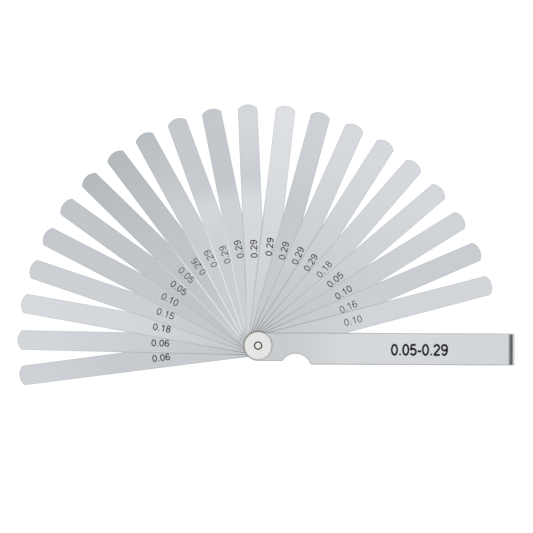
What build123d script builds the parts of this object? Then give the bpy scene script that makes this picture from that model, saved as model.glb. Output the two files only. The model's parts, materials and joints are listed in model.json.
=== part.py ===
# Long feeler gauge: a folded sheet case, a riveted pivot and a fan of thickness leaves.
# Millimetres, +Z up. The gauge lies on its back: the pivot axis is Z, the case runs along +X
# and the leaves fan out over +Y. The origin is where the pivot axis meets the rest face.

from build123d import *
import math
import os

# Leaves, from the rearmost to the front: marked thickness and fan angle from the case.
# The thickness marked on each leaf is its real thickness. The fan is spread by hand, so it is uneven.
leaves = [
    (0.06, 187.6),
    (0.06, 179.0),
    (0.18, 170.1),
    (0.15, 161.5),
    (0.10, 152.9),
    (0.05, 144.4),
    (0.05, 135.9),
    (0.26, 127.4),
    (0.29, 119.0),
    (0.29, 110.3),
    (0.29, 101.6),
    (0.29, 92.8),
    (0.29, 83.6),
    (0.29, 75.0),
    (0.29, 66.3),
    (0.29, 57.8),
    (0.18, 49.3),
    (0.05, 40.7),
    (0.10, 32.1),
    (0.16, 23.5),
    (0.10, 14.9),
]

# Leaf outline
leaf_reach = 154.3          # pivot axis to the crown of the tip
leaf_root_width = 13.2
leaf_tip_width = 12.6
tip_radius = 8.8            # arc across the end of a leaf
tip_corner_radius = 0.8

# Play in the stack
leaf_gap = 0.03             # between one leaf and the next
cheek_gap = 0.05            # between the stack and each cheek

# Pivot
pin_diameter = 4.5
pin_end_chamfer = 0.3
running_clearance = 0.05    # radial, round the pin
washer_diameter = 17.6
washer_thickness = 1.0
washer_rim_chamfer = 0.25
washer_bore_chamfer = 0.4

# Folded case
sheet_thickness = 1.5
tip_room = 8.5              # leaf tips to the inside of the fold
edge_above_leaf = 1.5       # case edge beyond a folded leaf, on the side the leaves leave by
edge_below_leaf = 5.35      # case edge beyond a folded leaf, on the finger notch's side
ear_below_leaf = 3.2        # the same, between the pivot and the finger notch
ear_setback = 0.1           # centre of the rounded ear, ahead of the pivot
ear_flat_length = 14.0      # the cheeks lie parallel this far from the pivot, then part
knee_radius = 1000.0        # the gentle bend where they start to part
notch_offset = 24.0         # finger notch, from the pivot along the case
notch_radius = 10.0
notch_bite = 1.55           # the notch reaches this far over a folded leaf
notch_corner_radius = 1.4
sheet_edge_radius = 0.4

# Worked out from the sizes above
stack_height = sum(thickness for thickness, angle in leaves) + leaf_gap * (len(leaves) - 1)
half_mouth = stack_height / 2 + cheek_gap
half_case = half_mouth + sheet_thickness
half_height = half_case + washer_thickness
middle = half_height

fold_radius = half_height
fold_end = leaf_reach + tip_room + sheet_thickness
fold_centre = fold_end - fold_radius

leaf_edge = leaf_root_width / 2
case_top = leaf_edge + edge_above_leaf
case_bottom = leaf_edge + edge_below_leaf
ear_bottom = leaf_edge + ear_below_leaf
ear_radius = (case_top + ear_bottom) / 2
ear_middle = (case_top - ear_bottom) / 2
notch_middle = notch_bite - leaf_edge - notch_radius
pin_hole_radius = pin_diameter / 2 + running_clearance
blank_end = fold_end + sheet_thickness      # the flat blank ends past the fold, which trims it
knee_search = leaf_gap                      # how near a corner of the strip lies to its knee


def strip_half(inset):
    """Upper half of the strip's side line, this far in from its outer face: flat, slope, fold."""
    height = half_case - inset
    radius = fold_radius - inset
    run = fold_centre - ear_flat_length
    slope = math.asin(radius / math.hypot(run, height)) - math.atan2(height, run)
    start = (ear_setback - ear_radius, height)
    knee = (ear_flat_length, height)
    touch = (fold_centre - radius * math.sin(slope), radius * math.cos(slope))
    return start, knee, touch, (fold_centre + radius, 0)


def strip_section():
    """The case seen from its long edge: one strip folded back on itself."""
    outer_start, outer_knee, outer_touch, outer_end = strip_half(0)
    inner_start, inner_knee, inner_touch, inner_end = strip_half(sheet_thickness)

    def below(point):
        return point[0], -point[1]

    with BuildSketch(Plane.XZ) as section:
        with BuildLine():
            Polyline(below(outer_start), below(outer_knee), below(outer_touch))
            ThreePointArc(below(outer_touch), outer_end, outer_touch)
            Polyline(outer_touch, outer_knee, outer_start, inner_start, inner_knee, inner_touch)
            ThreePointArc(inner_touch, inner_end, below(inner_touch))
            Polyline(below(inner_touch), below(inner_knee), below(inner_start), below(outer_start))
        make_face()
        knees = [corner for corner in section.vertices() if abs(corner.X - ear_flat_length) < knee_search]
        fillet(knees, knee_radius)
    return section.sketch


def case_outline():
    """The case seen from its face: rounded ear, straight edges and the finger notch."""
    ear_size = (notch_offset - ear_setback, case_top + ear_bottom)
    body_size = (blank_end - notch_offset, case_top + case_bottom)
    with BuildSketch() as outline:
        with Locations((ear_setback, ear_middle)):
            Circle(ear_radius)
        with Locations((ear_setback, -ear_bottom)):
            Rectangle(*ear_size, align=(Align.MIN, Align.MIN))
        with Locations((notch_offset, -case_bottom)):
            Rectangle(*body_size, align=(Align.MIN, Align.MIN))
        with Locations((notch_offset, notch_middle)):
            Circle(notch_radius, mode=Mode.SUBTRACT)
        left_corner = outline.vertices().sort_by_distance((notch_offset - notch_radius, -ear_bottom))[0]
        right_corner = outline.vertices().sort_by_distance((notch_offset + notch_radius, -case_bottom))[0]
        fillet([left_corner, right_corner], notch_corner_radius)
    return outline.sketch


def is_outer_skin(face):
    """True for the faces of the case that a hand touches: both cheeks' outsides and the fold's."""
    centre = face.center()
    normal = face.normal_at(centre)
    if centre.X > fold_centre:
        return normal.X > abs(normal.Z)
    return normal.Z * (centre.Z - middle) > half_mouth / 2


def case():
    """One strip of sheet, folded at the far end, with both long edges open."""
    strip = Pos(0, 0, middle) * extrude(strip_section(), case_top + case_bottom, both=True)
    blank = extrude(case_outline(), 2 * half_height)
    body = strip & blank
    skin_edges = [edge for face in body.faces() if is_outer_skin(face) for edge in face.edges()]
    rim = [edge for edge in skin_edges if sum(edge.is_same(other) for other in skin_edges) == 1]
    body = fillet(rim, sheet_edge_radius)
    body -= Pos(0, 0, middle) * Cylinder(pin_hole_radius, 2 * half_height)
    return body


def leaf(thickness, angle, height):
    """One leaf: round at the pivot, slightly tapered, with a crowned tip."""
    root = leaf_root_width / 2
    tip = leaf_tip_width / 2
    shoulder = leaf_reach - tip_radius + math.sqrt(tip_radius ** 2 - tip ** 2)
    with BuildSketch() as outline:
        with BuildLine():
            ThreePointArc((0, root), (-root, 0), (0, -root))
            Line((0, -root), (shoulder, -tip))
            ThreePointArc((shoulder, -tip), (leaf_reach, 0), (shoulder, tip))
            Line((shoulder, tip), (0, root))
        make_face()
        corners = outline.vertices().sort_by(Axis.X)[-2:]
        fillet(corners, tip_corner_radius)
        Circle(pin_hole_radius, mode=Mode.SUBTRACT)
    plate = extrude(outline.sketch, thickness)
    return Pos(0, 0, height) * Rot(0, 0, angle) * plate


def washer():
    """A flat disc with a bevelled rim and a countersunk bore, its seat at z = 0."""
    with BuildPart() as disc:
        Cylinder(washer_diameter / 2, washer_thickness, align=(Align.CENTER, Align.CENTER, Align.MIN))
        Hole(pin_diameter / 2)
        face_edges = disc.faces().sort_by(Axis.Z)[-1].edges().sort_by(SortBy.RADIUS)
        chamfer(face_edges[-1], washer_rim_chamfer)
        chamfer(face_edges[0], washer_bore_chamfer)
    return disc.part


def pivot_pin():
    """The rivet through washers, cheeks and leaves, bevelled at both ends."""
    with BuildPart() as pin:
        Cylinder(pin_diameter / 2, 2 * half_height, align=(Align.CENTER, Align.CENTER, Align.MIN))
        chamfer(pin.edges().filter_by(GeomType.CIRCLE), pin_end_chamfer)
    return pin.part


def build():
    """Every sub-part at its place, by the name of its file."""
    seat = middle + half_case
    parts = {
        "case": case(),
        "front_washer": Pos(0, 0, seat) * washer(),
        "rear_washer": Pos(0, 0, washer_thickness) * Rot(180, 0, 0) * washer(),
        "pivot_pin": pivot_pin(),
    }
    height = middle - stack_height / 2
    for number, (thickness, angle) in enumerate(leaves, start=1):
        parts[f"leaf_{number:02d}"] = leaf(thickness, angle, height)
        height += thickness + leaf_gap
    return parts


os.makedirs("parts", exist_ok=True)
for name, solid in build().items():
    export_step(solid, f"parts/{name}.step")
print(f"stack {stack_height:.2f}, mouth {2 * half_mouth:.2f}, height {2 * half_height:.2f}, reach {fold_end:.2f}")
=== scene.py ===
"""Looks of the long feeler gauge: brushed leaves with etched figures, a folded steel case, a bright pivot.

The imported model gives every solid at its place. This script dresses those solids, adds the etched
figures, and sets up a pale studio with a camera that looks straight down on the open fan.
Lengths are metres, except inside the materials, where patterns are laid out in millimetres.
"""

from __future__ import annotations

import json
import logging
import math
from dataclasses import dataclass, field
from enum import Enum

import bmesh
import bpy
from mathutils import Matrix, Vector

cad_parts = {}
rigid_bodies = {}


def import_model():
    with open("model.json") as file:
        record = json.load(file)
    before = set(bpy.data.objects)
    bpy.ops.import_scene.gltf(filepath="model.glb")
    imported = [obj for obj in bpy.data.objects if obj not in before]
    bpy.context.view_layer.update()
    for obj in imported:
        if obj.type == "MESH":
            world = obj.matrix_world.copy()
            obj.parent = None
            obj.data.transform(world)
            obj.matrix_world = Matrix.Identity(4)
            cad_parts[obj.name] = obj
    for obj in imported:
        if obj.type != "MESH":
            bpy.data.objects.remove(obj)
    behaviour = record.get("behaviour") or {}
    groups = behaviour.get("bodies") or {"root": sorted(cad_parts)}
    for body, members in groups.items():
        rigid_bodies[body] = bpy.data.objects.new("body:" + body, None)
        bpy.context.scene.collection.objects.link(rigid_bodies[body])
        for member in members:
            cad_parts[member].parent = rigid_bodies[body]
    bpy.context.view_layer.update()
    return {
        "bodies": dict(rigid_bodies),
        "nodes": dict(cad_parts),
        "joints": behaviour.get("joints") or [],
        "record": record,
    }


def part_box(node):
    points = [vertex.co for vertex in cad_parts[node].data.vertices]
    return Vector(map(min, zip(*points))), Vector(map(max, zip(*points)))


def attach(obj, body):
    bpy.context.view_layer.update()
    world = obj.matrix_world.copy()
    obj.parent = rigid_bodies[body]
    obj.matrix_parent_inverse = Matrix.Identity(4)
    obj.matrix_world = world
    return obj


log = logging.getLogger("feeler_gauge")

MM = 0.001
BUMP_STRENGTH = 0.5
BOW_STEP = 12.0             # degrees between the points of a curved stroke
SAME_POINT = 1e-4           # strokes whose ends are nearer than this are rings


def to_linear(level: float) -> float:
    """Linear light for a display level from 0 to 255."""
    share = level / 255
    return share / 12.92 if share <= 0.04045 else ((share + 0.055) / 1.055) ** 2.4


def grey(light: float) -> tuple[float, float, float, float]:
    """A neutral colour of a linear brightness."""
    return (light, light, light, 1.0)


@dataclass(frozen=True)
class Tint:
    """How far a surface's red and blue lie from its green, in display levels.

    Attributes:
        red: red less green.
        blue: blue less green.
        warming: change of red for each level that the surface is paler than level 206.
    """

    red: float
    blue: float
    warming: float = 0.0

    def colour(self, level: float) -> tuple[float, float, float, float]:
        """The tinted colour at a brightness.

        Args:
            level: display level of the green channel, 0 to 255.

        Returns:
            Linear red, green, blue and alpha.
        """
        red = level + self.red + self.warming * (level - 206)
        return (to_linear(red), to_linear(level), to_linear(level + self.blue), 1.0)

    def stops(self, levels: tuple[tuple[float, float], ...]) -> tuple[tuple[float, tuple], ...]:
        """Stops of a colour ramp.

        Args:
            levels: places along the ramp and their display levels.

        Returns:
            The places and their tinted colours.
        """
        return tuple((place, self.colour(level)) for place, level in levels)


COOL_STEEL = Tint(red=-3.2, blue=4.0, warming=0.08)
PLAIN_STEEL = Tint(red=-2.5, blue=2.5)
WARM_WHITE = Tint(red=0.0, blue=-1.0)
PRINT = Tint(red=0.0, blue=4.0)
ETCHING = Tint(red=20.0, blue=6.0)
# tint of the painted shadow round the washer and of the painted shade on the washers' outer edge
CONTACT_SHADE = Tint(red=7.0, blue=-9.0)
# brown tint of the painted shade in the groove round the pin
GROOVE_SHADE = Tint(red=26.0, blue=-34.0)


@dataclass
class Graph:
    """A node tree with short calls for adding and joining nodes."""

    tree: bpy.types.NodeTree

    def node(self, kind: str, **settings: object) -> bpy.types.Node:
        """Adds a node and sets its properties.

        Args:
            kind: the node's type name.
            settings: properties of the node and their values.

        Returns:
            The new node.
        """
        made = self.tree.nodes.new(kind)
        for name, value in settings.items():
            setattr(made, name, value)
        return made

    def feed(self, target: bpy.types.NodeSocket, source: object) -> None:
        """Joins a socket to another, or sets its value."""
        if isinstance(source, bpy.types.NodeSocket):
            self.tree.links.new(source, target)
        else:
            target.default_value = source

    def math(self, operation: str, *values: object, clamp: bool = False) -> bpy.types.NodeSocket:
        """One Math node.

        Args:
            operation: the operation's name.
            values: sockets or numbers, in the node's order.
            clamp: keep the result between 0 and 1.

        Returns:
            The result's socket.
        """
        made = self.node("ShaderNodeMath", operation=operation, use_clamp=clamp)
        for target, value in zip(made.inputs, values):
            self.feed(target, value)
        return made.outputs[0]

    def smooth_range(self, value: object, low: object, high: object, first: float = 0.0,
                     last: float = 1.0) -> bpy.types.NodeSocket:
        """Maps a value smoothly from one range to another.

        Args:
            value: the socket or number to map.
            low: where the result starts to leave first.
            high: where the result reaches last.
            first: the result below low.
            last: the result above high.

        Returns:
            The result's socket.
        """
        made = self.node("ShaderNodeMapRange", interpolation_type="SMOOTHSTEP")
        for name, source in (("Value", value), ("From Min", low), ("From Max", high),
                             ("To Min", first), ("To Max", last)):
            self.feed(made.inputs[name], source)
        return made.outputs["Result"]

    def blend(self, factor: object, first: object, second: object, mode: str = "MIX") -> bpy.types.NodeSocket:
        """Mixes two colours.

        Args:
            factor: share of the second colour.
            first: the first colour or socket.
            second: the second colour or socket.
            mode: how they blend.

        Returns:
            The mixed colour's socket.
        """
        made = self.node("ShaderNodeMix", data_type="RGBA", blend_type=mode)
        self.feed(made.inputs["Factor"], factor)
        self.feed(made.inputs[6], first)
        self.feed(made.inputs[7], second)
        return made.outputs[2]

    def ramp(self, place: object, stops: tuple[tuple[float, tuple], ...]) -> bpy.types.NodeSocket:
        """Colours along a value.

        Args:
            place: the value, 0 to 1.
            stops: places and their colours, in rising order.

        Returns:
            The colour's socket.
        """
        made = self.node("ShaderNodeValToRGB")
        self.feed(made.inputs[0], place)
        elements = made.color_ramp.elements
        while len(elements) < len(stops):
            elements.new(1.0)
        for element, (position, colour) in zip(elements, stops):
            element.position = position
            element.color = colour
        return made.outputs[0]

    def group(self, tree: bpy.types.NodeTree, **values: object) -> bpy.types.Node:
        """Places a shared effect.

        Args:
            tree: the effect's node group.
            values: sockets or numbers for its inputs, with underscores for the spaces in their names.

        Returns:
            The group's node.
        """
        made = self.node("ShaderNodeGroup")
        made.node_tree = tree
        for name, value in values.items():
            self.feed(made.inputs[name.replace("_", " ")], value)
        return made


def new_effect(name: str, inputs: dict[str, str],
               outputs: dict[str, str]) -> tuple[Graph, dict, bpy.types.Node]:
    """Starts a shared effect.

    Args:
        name: the group's name.
        inputs: names of its inputs and their socket types.
        outputs: names of its outputs and their socket types.

    Returns:
        The group's graph, its inputs by name, and the node that takes its results.
    """
    tree = bpy.data.node_groups.new(name, "ShaderNodeTree")
    for direction, sockets in (("INPUT", inputs), ("OUTPUT", outputs)):
        for label, kind in sockets.items():
            tree.interface.new_socket(name=label, in_out=direction, socket_type=kind)
    entry = tree.nodes.new("NodeGroupInput")
    result = tree.nodes.new("NodeGroupOutput")
    return Graph(tree), {socket.name: socket for socket in entry.outputs}, result


@dataclass
class Effects:
    """The effects that several finishes share, each built once."""

    brushing: bpy.types.NodeTree = field(init=False)
    leaf_rim: bpy.types.NodeTree = field(init=False)
    pivot_ring: bpy.types.NodeTree = field(init=False)
    cut_edge: bpy.types.NodeTree = field(init=False)

    def __post_init__(self) -> None:
        """Builds the node groups."""
        self.brushing = self.build_brushing()
        self.leaf_rim = self.build_leaf_rim()
        self.pivot_ring = self.build_pivot_ring()
        self.cut_edge = self.build_cut_edge()

    def build_brushing(self) -> bpy.types.NodeTree:
        """Fine lines along X, broken at their ends, with broad faint bands under them."""
        graph, given, result = new_effect(
            "brushed_lines",
            {"Place": "NodeSocketVector", "Line Width": "NodeSocketFloat", "Line Length": "NodeSocketFloat"},
            {"Fine": "NodeSocketFloat", "Broad": "NodeSocketFloat", "Height": "NodeSocketFloat"},
        )
        axes = graph.node("ShaderNodeSeparateXYZ")
        graph.feed(axes.inputs[0], given["Place"])
        layers = []
        for widening, detail in ((1.0, 3.0), (5.0, 2.0)):
            joined = graph.node("ShaderNodeCombineXYZ")
            stretch = graph.math("MULTIPLY", given["Line Length"], widening)
            spread = graph.math("MULTIPLY", given["Line Width"], widening)
            graph.feed(joined.inputs[0], graph.math("DIVIDE", axes.outputs[0], stretch))
            graph.feed(joined.inputs[1], graph.math("DIVIDE", axes.outputs[1], spread))
            graph.feed(joined.inputs[2], axes.outputs[2])
            noise = graph.node("ShaderNodeTexNoise")
            graph.feed(noise.inputs["Vector"], joined.outputs[0])
            noise.inputs["Scale"].default_value = 1.0
            noise.inputs["Detail"].default_value = detail
            layers.append(noise.outputs[0])
        graph.feed(result.inputs["Fine"], layers[0])
        graph.feed(result.inputs["Broad"], layers[1])
        graph.feed(result.inputs["Height"], layers[0])
        return graph.tree

    def build_leaf_rim(self) -> bpy.types.NodeTree:
        """Masks of a thin line round a leaf's outline, and of one along the edge on its +Y side."""
        graph, given, result = new_effect(
            "leaf_rim",
            {"Place": "NodeSocketVector", "Half Root": "NodeSocketFloat", "Half Tip": "NodeSocketFloat",
             "Reach": "NodeSocketFloat", "Tip Radius": "NodeSocketFloat", "Line Width": "NodeSocketFloat"},
            {"Rim": "NodeSocketFloat", "Side": "NodeSocketFloat", "Along": "NodeSocketFloat"},
        )
        axes = graph.node("ShaderNodeSeparateXYZ")
        graph.feed(axes.inputs[0], given["Place"])
        along, across = axes.outputs[0], axes.outputs[1]
        share = graph.math("DIVIDE", along, given["Reach"])
        taper = graph.math("SUBTRACT", given["Half Root"], given["Half Tip"])
        narrowing = graph.math("MULTIPLY", share, taper)
        half = graph.math("SUBTRACT", given["Half Root"], narrowing)
        from_sides = graph.math("SUBTRACT", half, graph.math("ABSOLUTE", across))
        from_side = graph.math("SUBTRACT", half, across)
        past = graph.math("SUBTRACT", along, graph.math("SUBTRACT", given["Reach"], given["Tip Radius"]))
        ahead = graph.math("MAXIMUM", past, 0.0)
        squares = [graph.math("MULTIPLY", axis, axis) for axis in (ahead, across)]
        away = graph.math("SQRT", graph.math("ADD", *squares))
        from_tip = graph.math("SUBTRACT", given["Tip Radius"], away)
        nearest = graph.math("MINIMUM", from_sides, from_tip)
        start = graph.math("MULTIPLY", given["Line Width"], 0.4)
        for label, distance in (("Rim", nearest), ("Side", from_side)):
            line = graph.smooth_range(distance, start, given["Line Width"], 1.0, 0.0)
            graph.feed(result.inputs[label], line)
        graph.feed(result.inputs["Along"], share)
        return graph.tree

    def build_pivot_ring(self) -> bpy.types.NodeTree:
        """Mask of a ring round the pivot axis, soft at both sides."""
        graph, given, result = new_effect(
            "pivot_ring",
            {"Place": "NodeSocketVector", "Radius": "NodeSocketFloat", "Width": "NodeSocketFloat",
             "Softness": "NodeSocketFloat"},
            {"Mask": "NodeSocketFloat"},
        )
        axes = graph.node("ShaderNodeSeparateXYZ")
        graph.feed(axes.inputs[0], given["Place"])
        squares = [graph.math("MULTIPLY", axis, axis) for axis in axes.outputs[:2]]
        away = graph.math("SQRT", graph.math("ADD", *squares))
        off = graph.math("ABSOLUTE", graph.math("SUBTRACT", away, given["Radius"]))
        half = graph.math("MULTIPLY", given["Width"], 0.5)
        outer = graph.math("ADD", half, given["Softness"])
        graph.feed(result.inputs["Mask"], graph.smooth_range(off, half, outer, 1.0, 0.0))
        return graph.tree

    def build_cut_edge(self) -> bpy.types.NodeTree:
        """Masks of the surfaces that turn away from a sheet's two faces, and of those towards +Y."""
        graph, given, result = new_effect("cut_edge", {"Normal": "NodeSocketVector"},
                                          {"Mask": "NodeSocketFloat", "Lit": "NodeSocketFloat"})
        axes = graph.node("ShaderNodeSeparateXYZ")
        graph.feed(axes.inputs[0], given["Normal"])
        upright = graph.math("ABSOLUTE", axes.outputs[2])
        graph.feed(result.inputs["Mask"], graph.smooth_range(upright, 0.80, 0.97, 1.0, 0.0))
        graph.feed(result.inputs["Lit"], graph.smooth_range(axes.outputs[1], -0.2, 0.2))
        return graph.tree


def start_material(name: str, turn: float = 0.0) -> tuple[bpy.types.Material, Graph, bpy.types.NodeSocket]:
    """A material whose pattern is laid out in millimetres, turned to a piece's own direction.

    Args:
        name: the material's name.
        turn: direction of the piece's length from +X, in degrees.

    Returns:
        The material, its graph, and the place on the piece with X along its length.
    """
    material = bpy.data.materials.new(name)
    material.use_nodes = True
    graph = Graph(material.node_tree)
    coordinates = graph.node("ShaderNodeTexCoord")
    mapping = graph.node("ShaderNodeMapping")
    mapping.inputs["Scale"].default_value = (1 / MM, 1 / MM, 1 / MM)
    mapping.inputs["Rotation"].default_value = (0.0, 0.0, math.radians(-turn))
    graph.feed(mapping.inputs["Vector"], coordinates.outputs["Object"])
    return material, graph, mapping.outputs[0]


def shader_of(material: bpy.types.Material) -> bpy.types.Node:
    """The Principled shader of a material."""
    return next(node for node in material.node_tree.nodes if node.type == "BSDF_PRINCIPLED")


@dataclass(frozen=True)
class Brushing:
    """How a steel surface is brushed.

    Attributes:
        line_width: width of a fine line, mm.
        line_length: length of a fine line, mm.
        contrast: how much darker a line's trough is, 0 to 1.
        roughness: roughness between the lines.
        roughness_swing: how much rougher the troughs are.
        depth: height of the lines for the bump, m.
    """

    line_width: float
    line_length: float
    contrast: float
    roughness: float
    roughness_swing: float
    depth: float

    def apply(self, effects: Effects, graph: Graph, shader: bpy.types.Node, place: bpy.types.NodeSocket,
              colour: object) -> None:
        """Brushes a colour and gives the result to a shader.

        Args:
            effects: the shared effects.
            graph: the material's graph.
            shader: its Principled shader.
            place: the place on the piece, mm, X along the lines.
            colour: colour or socket of the clean metal.
        """
        lines = graph.group(effects.brushing, Place=place, Line_Width=self.line_width,
                            Line_Length=self.line_length)
        both = graph.math("ADD", lines.outputs["Fine"], lines.outputs["Broad"])
        shade = graph.math("MULTIPLY_ADD", graph.math("SUBTRACT", both, 1.0), self.contrast, 1.0)
        grey = graph.node("ShaderNodeCombineColor")
        for channel in grey.inputs:
            graph.feed(channel, shade)
        brushed = graph.blend(1.0, colour, grey.outputs[0], mode="MULTIPLY")
        graph.feed(shader.inputs["Base Color"], brushed)
        rough = graph.math("MULTIPLY_ADD", lines.outputs["Fine"], self.roughness_swing, self.roughness)
        graph.feed(shader.inputs["Roughness"], rough)
        bump = graph.node("ShaderNodeBump")
        bump.inputs["Strength"].default_value = BUMP_STRENGTH
        bump.inputs["Distance"].default_value = self.depth
        graph.feed(bump.inputs["Height"], lines.outputs["Height"])
        graph.feed(shader.inputs["Normal"], bump.outputs[0])
        shader.inputs["Metallic"].default_value = 1.0


LEAF_BRUSHING = Brushing(line_width=0.25, line_length=18.0, contrast=0.055, roughness=0.22,
                         roughness_swing=0.12, depth=0.000004)
CASE_BRUSHING = Brushing(line_width=0.22, line_length=25.0, contrast=0.05, roughness=0.22,
                         roughness_swing=0.12, depth=0.000004)
DISC_FINISH = Brushing(line_width=0.8, line_length=0.8, contrast=0.05, roughness=0.28,
                       roughness_swing=0.08, depth=0.000001)


class PaintedSheen(Enum):
    """Painted reflection and shade: how the tone of a leaf runs from root to tip, display levels at shares of
    its reach.
    """

    EVEN = ((0.15, 201.0), (0.40, 206.0))
    GREY = ((0.15, 199.0), (0.90, 199.0))
    DEEP = ((0.15, 195.0), (0.90, 196.0))
    CLIMBING = ((0.15, 199.0), (0.90, 212.0))
    RISING = ((0.15, 200.0), (0.90, 216.0))
    PALE = ((0.15, 203.0), (0.45, 212.0), (0.90, 215.0))
    BRIGHT_TIP = ((0.15, 206.0), (0.45, 214.0), (0.90, 222.0))
    LATE = ((0.15, 202.0), (0.60, 201.0), (0.90, 208.0))
    DARK_TIP = ((0.15, 202.0), (0.35, 196.0), (0.60, 194.0), (0.97, 185.0))
    CLOUDED = ((0.20, 204.0), (0.64, 204.0), (0.97, 189.0))
    BANDED = ((0.20, 205.0), (0.35, 204.0), (0.60, 213.0), (0.69, 202.0), (0.95, 199.0))
    STEPPED = ((0.20, 206.0), (0.60, 208.0), (0.69, 198.0), (0.95, 199.0))
    DIPPED = ((0.15, 210.0), (0.60, 216.0), (0.71, 204.0), (0.90, 213.0))


class EdgeShadeAndGlint(Enum):
    """The painted line along a leaf's edge over the leaf under it, a painted shadow on some leaves and a
    painted glint on others: display levels at shares of its reach.
    """

    SHADED = ((0.07, 138.0), (0.12, 160.0), (0.35, 168.0), (0.97, 186.0))
    FADING = ((0.07, 132.0), (0.12, 154.0), (0.22, 180.0), (0.97, 190.0))
    SOFT = ((0.07, 150.0), (0.12, 180.0), (0.35, 186.0), (0.97, 192.0))
    EMERGING = ((0.07, 172.0), (0.14, 186.0), (0.25, 182.0), (0.42, 166.0))
    TURNING = ((0.07, 208.0), (0.14, 214.0), (0.22, 176.0), (0.97, 184.0))
    GLINT = ((0.07, 180.0), (0.09, 218.0), (0.40, 224.0), (0.60, 204.0))
    GLEAM = ((0.07, 180.0), (0.09, 230.0), (0.40, 234.0), (0.60, 206.0))
    BURNISHED = ((0.07, 170.0), (0.085, 240.0), (0.38, 248.0), (0.60, 215.0))


class Pen(Enum):
    """How wide the pen cut a leaf's figures, as a share of their height."""

    FULL = 0.152
    PLAIN = 0.132
    FINE = 0.110


@dataclass(frozen=True)
class LeafLook:
    """What sets one leaf's surface apart from the next.

    Attributes:
        painted_sheen: the painted reflection and shade, how its tone runs.
        edge: the painted line along its edge, shadow on some leaves and glint on others.
        pen: how wide its figures are cut.
        slide: how far its figures lie past their usual place, mm.
    """

    painted_sheen: PaintedSheen
    edge: EdgeShadeAndGlint
    pen: Pen
    slide: float = 0.0


LEAF_LOOKS = (
    LeafLook(PaintedSheen.LATE, EdgeShadeAndGlint.SOFT, Pen.FULL),
    LeafLook(PaintedSheen.CLIMBING, EdgeShadeAndGlint.SHADED, Pen.FULL),
    LeafLook(PaintedSheen.PALE, EdgeShadeAndGlint.FADING, Pen.FULL),
    LeafLook(PaintedSheen.EVEN, EdgeShadeAndGlint.SOFT, Pen.PLAIN),
    LeafLook(PaintedSheen.GREY, EdgeShadeAndGlint.SOFT, Pen.PLAIN, 0.9),
    LeafLook(PaintedSheen.DEEP, EdgeShadeAndGlint.SOFT, Pen.PLAIN),
    LeafLook(PaintedSheen.DARK_TIP, EdgeShadeAndGlint.GLINT, Pen.FINE, 1.6),
    LeafLook(PaintedSheen.DARK_TIP, EdgeShadeAndGlint.BURNISHED, Pen.FINE, 0.5),
    LeafLook(PaintedSheen.CLOUDED, EdgeShadeAndGlint.BURNISHED, Pen.FINE, 0.5),
    LeafLook(PaintedSheen.BANDED, EdgeShadeAndGlint.BURNISHED, Pen.FINE, -1.0),
    LeafLook(PaintedSheen.STEPPED, EdgeShadeAndGlint.GLEAM, Pen.PLAIN),
    LeafLook(PaintedSheen.DIPPED, EdgeShadeAndGlint.TURNING, Pen.FULL, -0.9),
    LeafLook(PaintedSheen.BRIGHT_TIP, EdgeShadeAndGlint.EMERGING, Pen.FULL, 0.7),
    LeafLook(PaintedSheen.LATE, EdgeShadeAndGlint.SOFT, Pen.PLAIN),
    LeafLook(PaintedSheen.RISING, EdgeShadeAndGlint.FADING, Pen.PLAIN),
    LeafLook(PaintedSheen.RISING, EdgeShadeAndGlint.SHADED, Pen.PLAIN),
    LeafLook(PaintedSheen.RISING, EdgeShadeAndGlint.FADING, Pen.FINE, 1.7),
    LeafLook(PaintedSheen.RISING, EdgeShadeAndGlint.FADING, Pen.PLAIN, 2.0),
    LeafLook(PaintedSheen.CLIMBING, EdgeShadeAndGlint.FADING, Pen.PLAIN, 1.5),
    LeafLook(PaintedSheen.EVEN, EdgeShadeAndGlint.FADING, Pen.FINE),
    LeafLook(PaintedSheen.PALE, EdgeShadeAndGlint.SHADED, Pen.FINE),
)


def ink_material(name: str, tint: Tint, level: float, fading: float) -> bpy.types.Material:
    """Dark figures: matt, and paler in patches where the etching took less.

    Args:
        name: the material's name.
        tint: their tint.
        level: display level of the darkest etching.
        fading: how much paler the weak patches are, in display levels.

    Returns:
        The material.
    """
    material, graph, place = start_material(name)
    patches = graph.node("ShaderNodeTexNoise")
    graph.feed(patches.inputs["Vector"], place)
    patches.inputs["Scale"].default_value = 0.4
    shader = shader_of(material)
    weak = graph.smooth_range(patches.outputs[0], 0.45, 0.75)
    ink = graph.blend(weak, tint.colour(level), tint.colour(level + fading))
    graph.feed(shader.inputs["Base Color"], ink)
    graph.feed(shader.inputs["Roughness"], graph.math("MULTIPLY_ADD", patches.outputs[0], 0.3, 0.45))
    shader.inputs["Specular IOR Level"].default_value = 0.25
    return material


@dataclass(frozen=True)
class Bow:
    """An elliptical stretch of a stroke, in shares of the figures' height.

    Attributes:
        centre: its middle.
        radii: its half width and half height.
        first: angle where it starts, degrees.
        last: angle where it ends, which is less than first where it runs clockwise.
    """

    centre: tuple[float, float]
    radii: tuple[float, float]
    first: float = 0.0
    last: float = 360.0

    def points(self) -> list[Vector]:
        """Points along it, evenly spaced."""
        sweep = self.last - self.first
        count = math.ceil(abs(sweep) / BOW_STEP)
        turns = (math.radians(self.first + sweep * step / count) for step in range(count + 1))
        return [Vector((self.centre[0] + self.radii[0] * math.cos(turn),
                        self.centre[1] + self.radii[1] * math.sin(turn))) for turn in turns]


@dataclass(frozen=True)
class Glyph:
    """One figure: its width with its spacing, and its strokes, each a row of points and bows."""

    advance: float
    strokes: tuple[tuple, ...]


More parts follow.
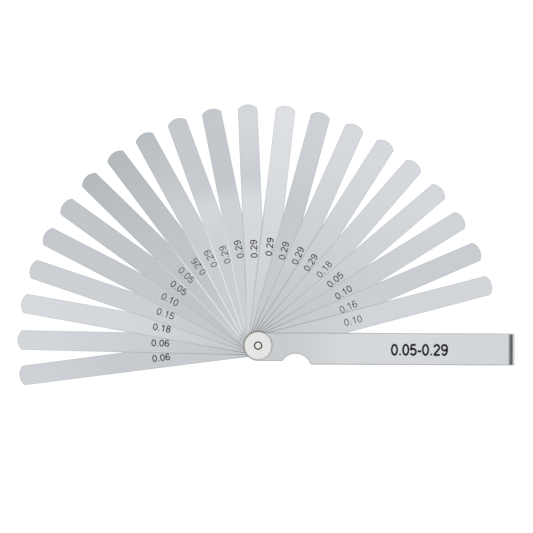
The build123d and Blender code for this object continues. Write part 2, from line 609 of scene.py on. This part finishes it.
GLYPHS = {
    "0": Glyph(0.777, ((Bow((0.388, 0.50), (0.275, 0.45)),),)),
    "1": Glyph(0.777, (((0.46, 0.0), (0.46, 1.0)), ((0.47, 0.94), (0.19, 0.72)))),
    "2": Glyph(0.777, ((Bow((0.375, 0.70), (0.26, 0.25), 172, -25), (0.12, 0.09)),
                       ((0.06, 0.05), (0.70, 0.05)))),
    "5": Glyph(0.777, (((0.64, 0.95), (0.18, 0.95)), ((0.21, 0.97), (0.13, 0.47)),
                       (Bow((0.375, 0.32), (0.28, 0.27), 148, -158),))),
    "6": Glyph(0.777, ((Bow((0.385, 0.30), (0.27, 0.25)),),
                       (Bow((0.400, 0.50), (0.285, 0.45), 40, 190),))),
    "8": Glyph(0.777, ((Bow((0.388, 0.74), (0.22, 0.21)),), (Bow((0.388, 0.29), (0.27, 0.24)),))),
    "9": Glyph(0.777, ((Bow((0.392, 0.70), (0.27, 0.25)),),
                       (Bow((0.377, 0.50), (0.285, 0.45), 220, 370),))),
    ".": Glyph(0.388, (((0.195, 0.0), (0.195, 0.16)),)),
    "-": Glyph(0.480, (((0.06, 0.37), (0.43, 0.37)),)),
}


@dataclass(frozen=True)
class Lettering:
    """Figures drawn with a pen as a thin solid, to be laid on a surface.

    Attributes:
        text: the figures.
        length: length of the whole, m.
        height: height of the figures, m.
        pen: width of the pen, as a share of the figures' height.
        thickness: thickness of the etched layer, m.
    """

    text: str
    length: float
    height: float
    pen: float
    thickness: float = 0.000008

    def draw(self, shape: bmesh.types.BMesh, path: list[Vector]) -> None:
        """Adds one stroke: a flat closed strip as wide as the pen.

        Args:
            shape: the mesh that takes it.
            path: points along its middle; a stroke that ends where it starts is a ring.
        """
        is_ring = (path[-1] - path[0]).length < SAME_POINT
        before = [path[-2] if is_ring else path[0], *path]
        after = [*path[1:], path[1] if is_ring else path[-1]]
        rows = []
        for spot, last, following in zip(path, before, after):
            side = (following - last).orthogonal().normalized() * self.pen / 2
            corners = ((spot - side, 0), (spot + side, 0), (spot + side, 1), (spot - side, 1))
            rows.append([shape.verts.new((*place, level)) for place, level in corners])
        for row, following in zip(rows, rows[1:]):
            for corner in range(4):
                turned = (corner + 1) % 4
                shape.faces.new((row[corner], row[turned], following[turned], following[corner]))
        if is_ring:
            bmesh.ops.remove_doubles(shape, verts=rows[0] + rows[-1], dist=SAME_POINT)
        else:
            shape.faces.new(rows[0])
            shape.faces.new(rows[-1])

    def mesh(self) -> bpy.types.Mesh:
        """A mesh of closed strokes, centred on the origin, with its base at z = 0."""
        shape = bmesh.new()
        start = 0.0
        for character in self.text:
            glyph = GLYPHS[character]
            for stroke in glyph.strokes:
                parts = [part.points() if isinstance(part, Bow) else [Vector(part)] for part in stroke]
                self.draw(shape, [spot + Vector((start, 0.0)) for part in parts for spot in part])
            start += glyph.advance
        low = Vector(min(vert.co[axis] for vert in shape.verts) for axis in range(3))
        high = Vector(max(vert.co[axis] for vert in shape.verts) for axis in range(3))
        middle = (low + high) / 2
        bmesh.ops.translate(shape, verts=shape.verts, vec=(-middle.x, -middle.y, -low.z))
        size = high - low
        scale = (self.length / size.x, self.height / size.y, self.thickness / size.z)
        bmesh.ops.scale(shape, verts=shape.verts, vec=scale)
        bmesh.ops.recalc_face_normals(shape, faces=shape.faces)
        mesh = bpy.data.meshes.new("figures")
        shape.to_mesh(mesh)
        shape.free()
        return mesh

    def lay(self, name: str, place: Matrix, material: bpy.types.Material, body: str) -> bpy.types.Object:
        """Makes the figures a piece at its place.

        Args:
            name: the piece's name.
            place: where the figures' centre lies, with X along the reading direction.
            material: their finish.
            body: the body they ride on.

        Returns:
            The piece, its object at the origin.
        """
        mesh = self.mesh()
        mesh.transform(place)
        mesh.materials.clear()
        mesh.materials.append(material)
        piece = bpy.data.objects.new(name, mesh)
        bpy.context.scene.collection.objects.link(piece)
        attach(piece, body)
        log.info("%s rides on %s", name, body)
        return piece


def dress(node: bpy.types.Object, material: bpy.types.Material) -> None:
    """Gives a solid its finish."""
    for slot in node.material_slots:
        slot.material = material
    log.info("%s wears %s", node.name, material.name)


@dataclass
class Leaf:
    """One thickness leaf.

    Attributes:
        name: the solid's name, and its body's.
        angle: direction of the leaf at rest, degrees from the case.
        thickness: its real thickness, mm.
        top: height of its marked face, m.
        look: how its surface differs from the others'.
        half_root: half its width at the pivot, mm.
        half_tip: half its width at the tip, mm.
        reach: from the pivot axis to the crown of the tip, mm.
        tip_radius: radius of the tip's arc, mm.
        line_width: width of the painted dark rim and of the painted line along its edge, mm.
        rim_shade: share of the light that the rim keeps.
        line_fades: shares of its reach where the painted line along its edge starts to fade and is gone.
        shadow_radius: how far the painted shadow round the washer reaches from the pivot axis, mm.
        shadow_share: how strongly the painted shadow darkens the steel.
        shadow_level: display level of the painted shadow.
        figures_at: from the pivot axis to the middle of its figures, mm.
        figures_length: length of its figures, mm.
        figures_height: height of its figures, mm.
        reads_inward_from: angle past which its figures read towards the pivot, degrees.
    """

    name: str
    angle: float
    thickness: float
    top: float
    look: LeafLook
    half_root: float = 6.6
    half_tip: float = 6.3
    reach: float = 154.3
    tip_radius: float = 8.8
    line_width: float = 0.62
    rim_shade: float = 0.86
    line_fades: tuple[float, float] = (0.45, 0.70)
    shadow_radius: float = 9.3
    shadow_share: float = 0.6
    shadow_level: float = 108.0
    figures_at: float = 62.7
    figures_length: float = 11.5
    figures_height: float = 4.5
    reads_inward_from: float = 131.0

    def material(self, effects: Effects) -> bpy.types.Material:
        """Brushed steel with painted reflection and shade from root to tip, a painted darker rim, a painted
        edge line that is shadow on some leaves and glint on others, and painted shadow at the pivot.
        """
        material, graph, place = start_material(f"{self.name}_steel", self.angle)
        rim = graph.group(effects.leaf_rim, Place=place, Half_Root=self.half_root, Half_Tip=self.half_tip,
                          Reach=self.reach, Tip_Radius=self.tip_radius, Line_Width=self.line_width)
        along = rim.outputs["Along"]
        # painted reflection and shade: the tone that runs from root to tip
        tone = graph.ramp(along, COOL_STEEL.stops(self.look.painted_sheen.value))
        # painted shade: a darker rim round the leaf's outline
        rimmed = graph.blend(rim.outputs["Rim"], tone, grey(self.rim_shade), mode="MULTIPLY")
        # painted edge line along the +Y side: cast shadow on some leaves, glint on others
        line = graph.ramp(along, PLAIN_STEEL.stops(self.look.edge.value))
        near = graph.smooth_range(along, *self.line_fades, 1.0, 0.0)
        edged = graph.blend(graph.math("MULTIPLY", rim.outputs["Side"], near), rimmed, line)
        # painted shadow on the leaves round the washer, where the washer and cheek stand over them
        pivot_shadow = graph.group(effects.pivot_ring, Place=place, Radius=0.0, Width=2 * self.shadow_radius,
                          Softness=0.3)
        shadow_amount = graph.math("MULTIPLY", pivot_shadow.outputs["Mask"], self.shadow_share)
        painted_shadow = graph.blend(shadow_amount, edged, CONTACT_SHADE.colour(self.shadow_level))
        LEAF_BRUSHING.apply(effects, graph, shader_of(material), place, painted_shadow)
        return material

    def figures(self, ink: bpy.types.Material) -> bpy.types.Object:
        """The leaf's thickness, etched on its upper face."""
        turn = self.angle + (180 if self.angle > self.reads_inward_from else 0)
        away = (self.figures_at + self.look.slide) * MM
        spot = Matrix.Rotation(math.radians(self.angle), 4, "Z") @ Vector((away, 0, 0))
        place = Matrix.Translation((spot.x, spot.y, self.top)) @ Matrix.Rotation(math.radians(turn), 4, "Z")
        lettering = Lettering(f"{self.thickness:.2f}", self.figures_length * MM,
                              self.figures_height * MM, self.look.pen.value)
        return lettering.lay(f"{self.name}_figures", place, ink, self.name)


@dataclass
class LeafFan:
    """All the leaves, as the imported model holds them."""

    frame: dict
    leaves: list[Leaf] = field(init=False)

    def __post_init__(self) -> None:
        """Reads each leaf's angle from its joint and its thickness from its solid."""
        self.leaves = []
        for joint, look in zip(self.frame["joints"], LEAF_LOOKS):
            name = joint["child"]
            low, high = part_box(name)
            self.leaves.append(Leaf(name, -joint["range_deg"][0], (high.z - low.z) / MM, high.z, look))

    def build(self, effects: Effects) -> None:
        """Dresses the leaves and etches their figures."""
        ink = ink_material("etched_figures", ETCHING, 18, 28)
        for leaf in self.leaves:
            dress(self.frame["nodes"][leaf.name], leaf.material(effects))
            leaf.figures(ink)


@dataclass
class FoldedCase:
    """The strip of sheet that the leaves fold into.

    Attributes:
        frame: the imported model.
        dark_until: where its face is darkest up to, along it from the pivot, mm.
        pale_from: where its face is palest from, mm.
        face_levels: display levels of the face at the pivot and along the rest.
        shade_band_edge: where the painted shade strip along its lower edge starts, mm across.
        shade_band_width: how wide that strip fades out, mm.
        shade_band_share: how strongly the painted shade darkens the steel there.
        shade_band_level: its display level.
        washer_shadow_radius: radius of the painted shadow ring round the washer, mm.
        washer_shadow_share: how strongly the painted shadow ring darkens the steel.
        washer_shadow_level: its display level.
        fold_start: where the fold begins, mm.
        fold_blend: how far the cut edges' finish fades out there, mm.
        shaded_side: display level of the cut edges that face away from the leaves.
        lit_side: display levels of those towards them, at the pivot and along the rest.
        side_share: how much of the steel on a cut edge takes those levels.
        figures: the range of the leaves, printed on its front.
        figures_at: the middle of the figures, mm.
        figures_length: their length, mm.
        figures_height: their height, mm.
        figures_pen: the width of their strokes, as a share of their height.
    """

    frame: dict
    dark_until: float = 14.0
    pale_from: float = 62.0
    face_levels: tuple[float, float] = (203.0, 216.0)
    shade_band_edge: float = -11.5
    shade_band_width: float = 0.6
    shade_band_share: float = 0.8
    shade_band_level: float = 196.0
    washer_shadow_radius: float = 9.1
    washer_shadow_share: float = 0.4
    washer_shadow_level: float = 130.0
    fold_start: float = 153.0
    fold_blend: float = 3.0
    shaded_side: float = 96.0
    lit_side: tuple[float, float] = (180.0, 204.0)
    side_share: float = 0.9
    figures: str = "0.05-0.29"
    figures_at: tuple[float, float] = (102.9, -2.3)
    figures_length: float = 36.5
    figures_height: float = 7.8
    figures_pen: float = 0.2

    def material(self, effects: Effects) -> bpy.types.Material:
        """Steel brushed along the case, darker at the pivot, with painted shade along its lower edge, a
        painted shadow round the washer, and painted light and shade on the cut edges.
        """
        material, graph, place = start_material("case_steel")
        axes = graph.node("ShaderNodeSeparateXYZ")
        graph.feed(axes.inputs[0], place)
        along, across = axes.outputs[0], axes.outputs[1]
        away = graph.smooth_range(along, self.dark_until, self.pale_from)
        tone = graph.blend(away, *(PLAIN_STEEL.colour(level) for level in self.face_levels))
        # painted shade along the lower edge, where the rounded edge turns from the light
        low_band = graph.smooth_range(across, self.shade_band_edge, self.shade_band_edge + self.shade_band_width, 1.0, 0.0)
        painted_dark = graph.math("MULTIPLY", low_band, self.shade_band_share)
        band_shaded = graph.blend(painted_dark, tone, PLAIN_STEEL.colour(self.shade_band_level))
        # painted shadow: a dark ring on the case round the washer
        ring = graph.group(effects.pivot_ring, Place=place, Radius=self.washer_shadow_radius, Width=0.4,
                           Softness=0.2)
        painted_shadow = graph.math("MULTIPLY", ring.outputs["Mask"], self.washer_shadow_share)
        washer_shadowed = graph.blend(painted_shadow, band_shaded, CONTACT_SHADE.colour(self.washer_shadow_level))
        normal = graph.node("ShaderNodeTexCoord").outputs["Normal"]
        cut = graph.group(effects.cut_edge, Normal=normal)
        fold = self.fold_start
        before_fold = graph.smooth_range(along, fold, fold + self.fold_blend, 1.0, 0.0)
        edge = graph.math("MULTIPLY", cut.outputs["Mask"], before_fold)
        # painted light and shade on the cut edges: lit where they face +Y, shaded where they face -Y
        lit = graph.blend(away, *(PLAIN_STEEL.colour(level) for level in self.lit_side))
        side = graph.blend(cut.outputs["Lit"], PLAIN_STEEL.colour(self.shaded_side), lit)
        cut_tone = graph.blend(graph.math("MULTIPLY", edge, self.side_share), washer_shadowed, side)
        CASE_BRUSHING.apply(effects, graph, shader_of(material), place, cut_tone)
        return material

    def place_on_face(self) -> Matrix:
        """Where the figures lie on the front cheek, which slopes a little."""
        x, y = (value * MM for value in self.figures_at)
        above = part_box("case")[1].z + 10 * MM
        case = self.frame["nodes"]["case"]
        hit, spot, normal, _ = case.ray_cast(Vector((x, y, above)), Vector((0, 0, -1)))
        if not hit:
            raise ValueError("the figures' place is off the case")
        along = Vector((1, 0, 0))
        along = (along - normal * along.dot(normal)).normalized()
        across = normal.cross(along)
        turned = Matrix((along, across, normal)).transposed().to_4x4()
        return Matrix.Translation(spot) @ turned

    def build(self, effects: Effects) -> None:
        """Dresses the case and prints the range of the leaves on it."""
        dress(self.frame["nodes"]["case"], self.material(effects))
        lettering = Lettering(self.figures, self.figures_length * MM, self.figures_height * MM,
                              self.figures_pen)
        ink = ink_material("printed_figures", PRINT, 22, 10)
        lettering.lay("range_figures", self.place_on_face(), ink, "case")


@dataclass
class Pivot:
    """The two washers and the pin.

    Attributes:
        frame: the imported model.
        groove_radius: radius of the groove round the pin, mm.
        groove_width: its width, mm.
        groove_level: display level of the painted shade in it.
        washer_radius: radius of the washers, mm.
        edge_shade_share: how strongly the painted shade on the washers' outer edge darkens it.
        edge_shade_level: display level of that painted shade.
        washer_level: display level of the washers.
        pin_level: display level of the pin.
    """

    frame: dict
    groove_radius: float = 2.3
    groove_width: float = 0.7
    groove_level: float = 58.0
    washer_radius: float = 8.8
    edge_shade_share: float = 0.3
    edge_shade_level: float = 126.0
    washer_level: float = 230.0
    pin_level: float = 231.0

    def material(self, effects: Effects, name: str, level: float) -> bpy.types.Material:
        """Bright satin metal with painted shade in the groove round the pin and painted shade on its outer
        edge.

        Args:
            effects: the shared effects.
            name: the material's name.
            level: display level of the clean metal.

        Returns:
            The material.
        """
        material, graph, place = start_material(name)
        # painted shade in the groove round the pin, tinted brown
        groove = graph.group(effects.pivot_ring, Place=place, Radius=self.groove_radius,
                             Width=self.groove_width, Softness=0.16)
        groove_shaded = graph.blend(groove.outputs["Mask"], WARM_WHITE.colour(level),
                             GROOVE_SHADE.colour(self.groove_level))
        # painted shade on the washer's outer edge and chamfer
        edge = graph.group(effects.pivot_ring, Place=place, Radius=self.washer_radius, Width=0.3,
                           Softness=0.1)
        painted_dark = graph.math("MULTIPLY", edge.outputs["Mask"], self.edge_shade_share)
        edged = graph.blend(painted_dark, groove_shaded, CONTACT_SHADE.colour(self.edge_shade_level))
        shader = shader_of(material)
        DISC_FINISH.apply(effects, graph, shader, place, edged)
        shader.inputs["Specular IOR Level"].default_value = 0.1
        graph.feed(shader.inputs["Metallic"], graph.math("SUBTRACT", 1.0, groove.outputs["Mask"]))
        return material

    def build(self, effects: Effects) -> None:
        """Dresses the washers and the pin."""
        washers = self.material(effects, "washer_steel", self.washer_level)
        pin = self.material(effects, "pin_steel", self.pin_level)
        dress(self.frame["nodes"]["front_washer"], washers)
        dress(self.frame["nodes"]["rear_washer"], washers)
        dress(self.frame["nodes"]["pivot_pin"], pin)


@dataclass
class Studio:
    """A pale floor, a wide soft lamp overhead, and the camera above the fan.

    Attributes:
        frame_width: width of the picture at the leaves' height, mm.
        aim: the point under the middle of the picture, mm.
        roll: turn of the camera about its own line of sight, degrees.
        level: height that the picture's scale holds at, mm.
        lens: focal length, mm.
        sensor: width of the sensor, mm.
        lamp_low: the lamp's corner nearest the leaf tips on the left, m.
        lamp_high: its opposite corner, m.
        lamp_height: its height, m.
        lamp_strength: its brightness, where 1 shows a white as white.
        floor_size: half the floor's side, m.
        floor_drop: how far the floor lies under the part, m.
        floor_light: linear brightness of the floor to its shadow.
        floor_glow: how bright the floor shows to the camera and in metal.
    """

    frame_width: float = 341.1
    aim: tuple[float, float] = (5.14, 50.45)
    roll: float = 0.25
    level: float = 4.8
    lens: float = 135.0
    sensor: float = 36.0
    lamp_low: tuple[float, float] = (-1.9, -1.3)
    lamp_high: tuple[float, float] = (0.85, 2.0)
    lamp_height: float = 2.0
    lamp_strength: float = 0.75
    floor_size: float = 4.0
    floor_drop: float = 0.0002
    floor_light: float = 0.25
    floor_glow: float = 0.9

    def camera(self) -> None:
        """Looks straight down, from where the picture's scale comes out right."""
        data = bpy.data.cameras.new("camera")
        data.lens = self.lens
        data.sensor_width = self.sensor
        eye = bpy.data.objects.new("camera", data)
        distance = self.frame_width * self.lens / self.sensor
        eye.location = (self.aim[0] * MM, self.aim[1] * MM, (self.level + distance) * MM)
        eye.rotation_euler = (0.0, 0.0, math.radians(self.roll))
        bpy.context.scene.collection.objects.link(eye)
        bpy.context.scene.camera = eye

    def floor(self) -> None:
        """A pale floor that keeps a soft shadow and shows white to the camera and in the metal."""
        mesh = bpy.data.meshes.new("floor")
        shape = bmesh.new()
        bmesh.ops.create_grid(shape, x_segments=1, y_segments=1, size=self.floor_size)
        bmesh.ops.translate(shape, verts=shape.verts, vec=(0.0, 0.0, -self.floor_drop))
        shape.to_mesh(mesh)
        shape.free()
        floor = bpy.data.objects.new("floor", mesh)
        bpy.context.scene.collection.objects.link(floor)
        material = bpy.data.materials.new("floor")
        material.use_nodes = True
        graph = Graph(material.node_tree)
        shader = shader_of(material)
        shader.inputs["Base Color"].default_value = grey(self.floor_light)
        shader.inputs["Roughness"].default_value = 1.0
        shader.inputs["Specular IOR Level"].default_value = 0.0
        glow = graph.node("ShaderNodeEmission")
        rays = graph.node("ShaderNodeLightPath")
        seen = graph.math("MAXIMUM", rays.outputs["Is Camera Ray"], rays.outputs["Is Glossy Ray"])
        seen = graph.math("MAXIMUM", seen, rays.outputs["Is Transmission Ray"])
        graph.feed(glow.inputs["Strength"], graph.math("MULTIPLY", seen, self.floor_glow))
        both = graph.node("ShaderNodeAddShader")
        graph.feed(both.inputs[0], shader.outputs[0])
        graph.feed(both.inputs[1], glow.outputs[0])
        output = next(node for node in graph.tree.nodes if node.type == "OUTPUT_MATERIAL")
        graph.feed(output.inputs["Surface"], both.outputs[0])
        mesh.materials.append(material)

    def world(self) -> None:
        """White to the camera; a pale room round the object, with a dark card beyond the case's end."""
        world = bpy.data.worlds.new("studio")
        world.use_nodes = True
        bpy.context.scene.world = world
        graph = Graph(world.node_tree)
        direction = graph.node("ShaderNodeTexCoord")
        axes = graph.node("ShaderNodeSeparateXYZ")
        graph.feed(axes.inputs[0], direction.outputs["Generated"])
        card = (0.09, 0.105, 0.13, 1.0)
        zenith = ((0.85, (0.24, 0.25, 0.27, 1.0)), (0.96, grey(0.3)))
        room = ((0.0, grey(0.78)), (0.28, grey(0.72)), (0.6, (0.5, 0.5, 0.51, 1.0)), *zenith)
        beyond = ((0.0, grey(0.4)), (0.28, grey(0.3)), (0.42, card), (0.66, card), *zenith)
        square = graph.math("POWER", axes.outputs[2], 2.0)
        level = graph.math("SQRT", graph.math("SUBTRACT", 1.0, square))
        towards = graph.math("DIVIDE", axes.outputs[0], graph.math("MAXIMUM", level, 0.01))
        has_card = graph.smooth_range(towards, 0.80, 0.96)
        around = graph.blend(has_card, *(graph.ramp(axes.outputs[2], stops) for stops in (room, beyond)))
        rays = graph.node("ShaderNodeLightPath")
        light = graph.blend(rays.outputs["Is Camera Ray"], around, grey(1.0))
        background = next(node for node in graph.tree.nodes if node.type == "BACKGROUND")
        graph.feed(background.inputs["Color"], light)
        background.inputs["Strength"].default_value = 1.0

    def lamp(self) -> None:
        """One wide soft lamp overhead that stops a little past the end of the case."""
        data = bpy.data.lights.new("overhead", "AREA")
        data.shape = "RECTANGLE"
        low, high = Vector(self.lamp_low), Vector(self.lamp_high)
        data.size, data.size_y = high - low
        data.energy = math.pi * data.size * data.size_y * self.lamp_strength
        overhead = bpy.data.objects.new("overhead", data)
        overhead.location = (*((low + high) / 2), self.lamp_height)
        bpy.context.scene.collection.objects.link(overhead)

    def build(self) -> None:
        """Sets up the studio and the plain colour handling."""
        self.camera()
        self.floor()
        self.world()
        self.lamp()
        bpy.context.scene.view_settings.view_transform = "Standard"


def main() -> None:
    """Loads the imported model, dresses it, and sets it in the studio."""
    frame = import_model()
    effects = Effects()
    LeafFan(frame).build(effects)
    FoldedCase(frame).build(effects)
    Pivot(frame).build(effects)
    Studio().build()


if __name__ == "__main__":
    logging.basicConfig(level=logging.INFO, format="%(name)s: %(message)s")
    main()
